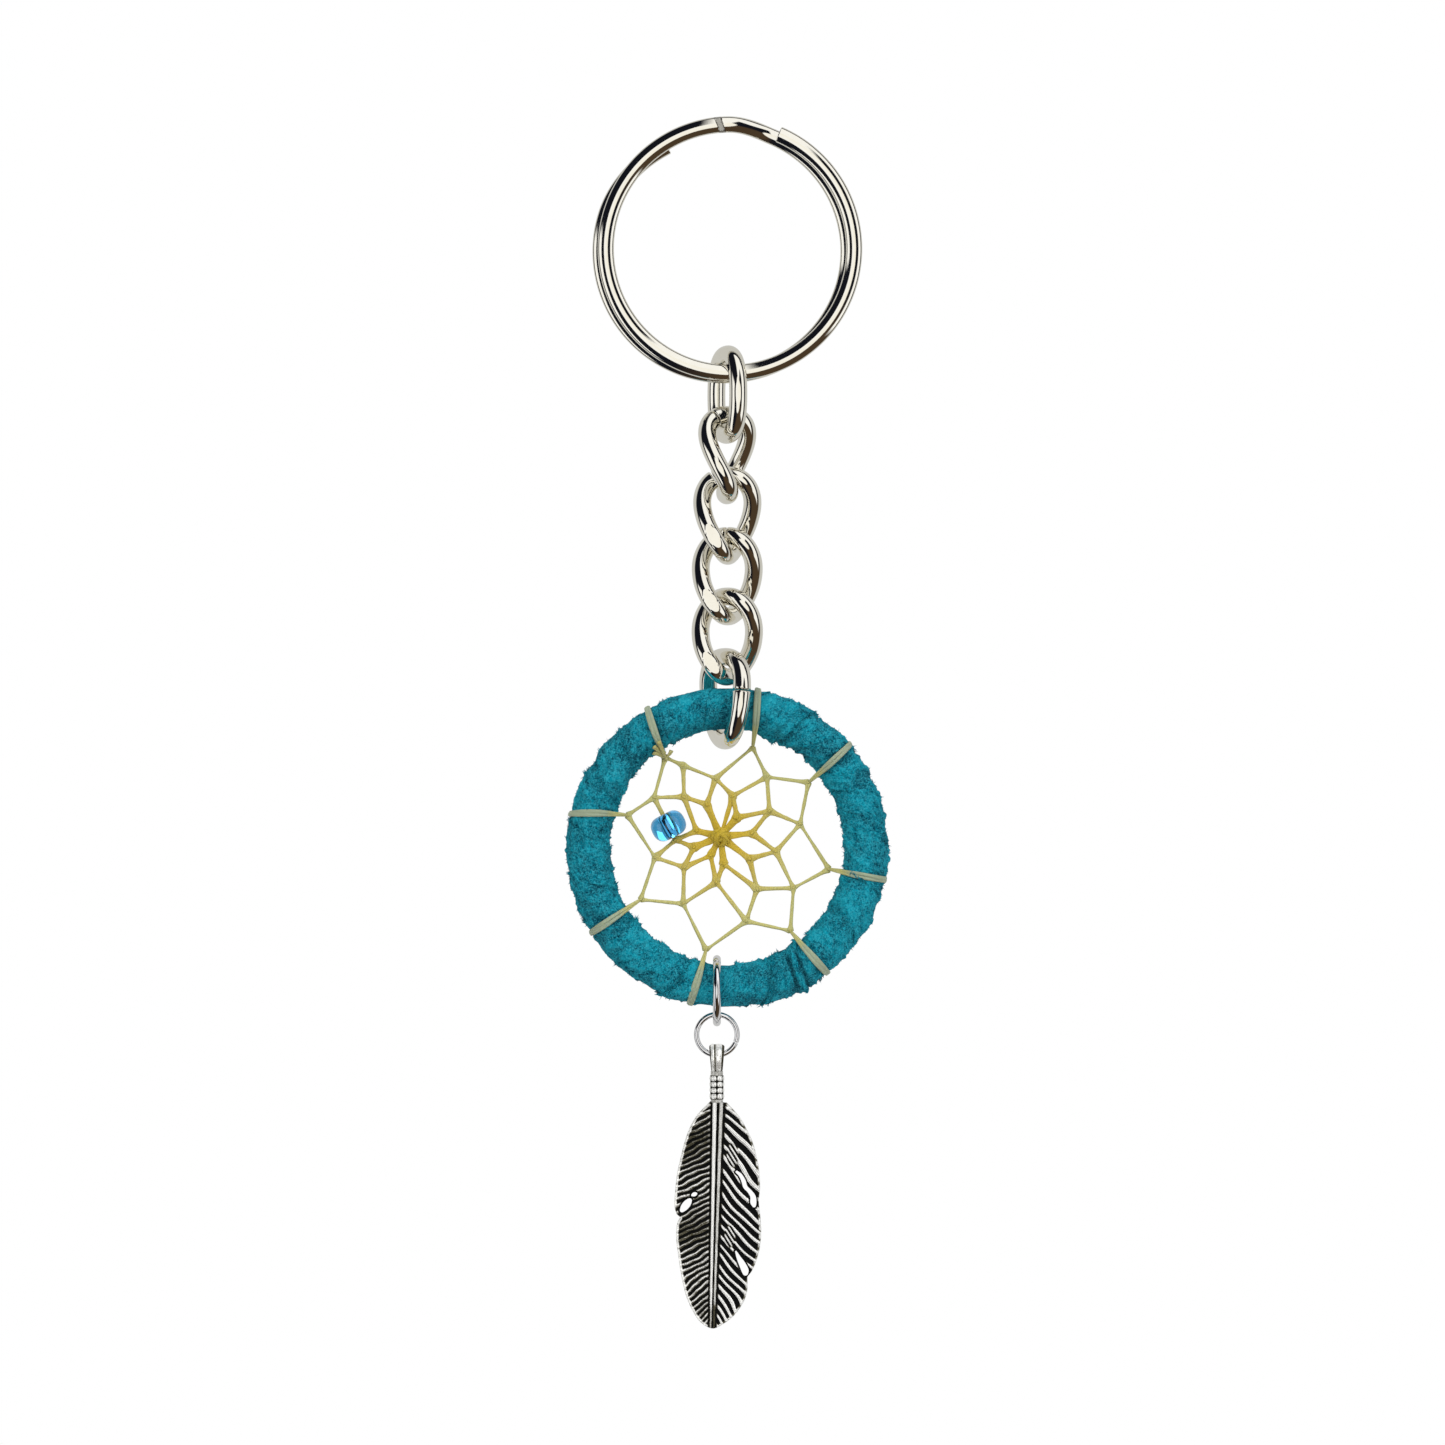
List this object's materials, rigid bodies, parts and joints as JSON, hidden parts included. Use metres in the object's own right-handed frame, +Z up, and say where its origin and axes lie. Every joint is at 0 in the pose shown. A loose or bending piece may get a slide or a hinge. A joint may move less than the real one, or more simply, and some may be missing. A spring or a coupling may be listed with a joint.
{
  "type": "dream catcher keychain",
  "caption": "Key chain with a suede-wrapped hoop netted with sinew thread and a glass bead, hung from a split ring on a curb chain, with a cast feather charm below.",
  "frame": {"origin": "inner top of the split key ring, where the object hangs", "axes": "+Z up along the chain, +X to the viewer's right in the plane of the hoop, +Y through the hoop away from the viewer"},
  "size_m": [0.0357, 0.0092, 0.1341],
  "materials": {
    "nickel": "nickel plated, polished, slightly warm",
    "core_wire": "drawn steel wire, hidden inside the lace",
    "suede_lace": "teal suede, napped, with frayed cut edges",
    "sinew": "waxed artificial sinew, pale straw to gold",
    "bead_glass": "clear blue glass",
    "bright_silver": "bright silver plate",
    "antique_silver": "cast, silver plated and darkened in the recesses"
  },
  "bodies": {
    "key_ring": {"key_ring": "nickel"},
    "link_1": {"chain_link_1": "nickel"},
    "link_2": {"chain_link_2": "nickel"},
    "link_3": {"chain_link_3": "nickel"},
    "link_4": {"chain_link_4": "nickel"},
    "link_5": {"chain_link_5": "nickel"},
    "link_6": {"chain_link_6": "nickel"},
    "hoop": {"hoop_core": "core_wire", "suede_wrap": "suede_lace", "web_net": "sinew", "web_hitch_1": "sinew", "web_hitch_2": "sinew", "web_hitch_3": "sinew", "web_hitch_4": "sinew", "web_hitch_5": "sinew", "web_hitch_6": "sinew", "web_hitch_7": "sinew", "web_hitch_8": "sinew"},
    "bead": {"bead": "bead_glass"},
    "hoop_jump_ring": {"jump_ring_hoop": "bright_silver"},
    "charm_jump_ring": {"jump_ring_charm": "bright_silver"},
    "feather": {"feather_charm": "antique_silver"}
  },
  "joints": [
    {"name": "link_1_swing", "type": "hinge", "parent": "key_ring", "child": "link_1", "pos_m": [0, 0, -0.0266], "axis": [1, 0, 0], "range_deg": [-60, 60]},
    {"name": "link_2_swing", "type": "hinge", "parent": "link_1", "child": "link_2", "pos_m": [0, 0, -0.03333], "axis": [0.4067, -0.9135, 0], "range_deg": [-60, 60]},
    {"name": "link_3_swing", "type": "hinge", "parent": "link_2", "child": "link_3", "pos_m": [0, 0, -0.04002], "axis": [-0.225, 0.9744, 0], "range_deg": [-35, 35]},
    {"name": "link_4_swing", "type": "hinge", "parent": "link_3", "child": "link_4", "pos_m": [0, 0, -0.04673], "axis": [0.2588, 0.9659, 0], "range_deg": [-50, 50]},
    {"name": "link_5_swing", "type": "hinge", "parent": "link_4", "child": "link_5", "pos_m": [0, 0, -0.05343], "axis": [0.5, 0.866, 0], "range_deg": [-35, 35]},
    {"name": "link_6_swing", "type": "hinge", "parent": "link_5", "child": "link_6", "pos_m": [0, 0, -0.06012], "axis": [0.5736, 0.8192, 0], "range_deg": [-25, 50]},
    {"name": "hoop_swing", "type": "hinge", "parent": "link_6", "child": "hoop", "pos_m": [0, 0, -0.06365], "axis": [1, 0, 0], "range_deg": [-60, 50]},
    {"name": "bead_slide", "type": "slide", "parent": "hoop", "child": "bead", "axis": [-0.4549, 0, 0.8905], "range_m": [0, 0.0013]},
    {"name": "hoop_jump_ring_swing", "type": "hinge", "parent": "hoop", "child": "hoop_jump_ring", "pos_m": [-0.00115, 0, -0.09431], "axis": [0.9972, 0, -0.075], "range_deg": [-75, 75]},
    {"name": "charm_jump_ring_swing", "type": "hinge", "parent": "hoop_jump_ring", "child": "charm_jump_ring", "pos_m": [-0.00115, 0, -0.09839], "axis": [0, 1, 0], "range_deg": [-50, 50]},
    {"name": "feather_swing", "type": "hinge", "parent": "charm_jump_ring", "child": "feather", "pos_m": [-0.00115, 0, -0.102], "axis": [1, 0, 0], "range_deg": [-90, 90]}
  ]
}
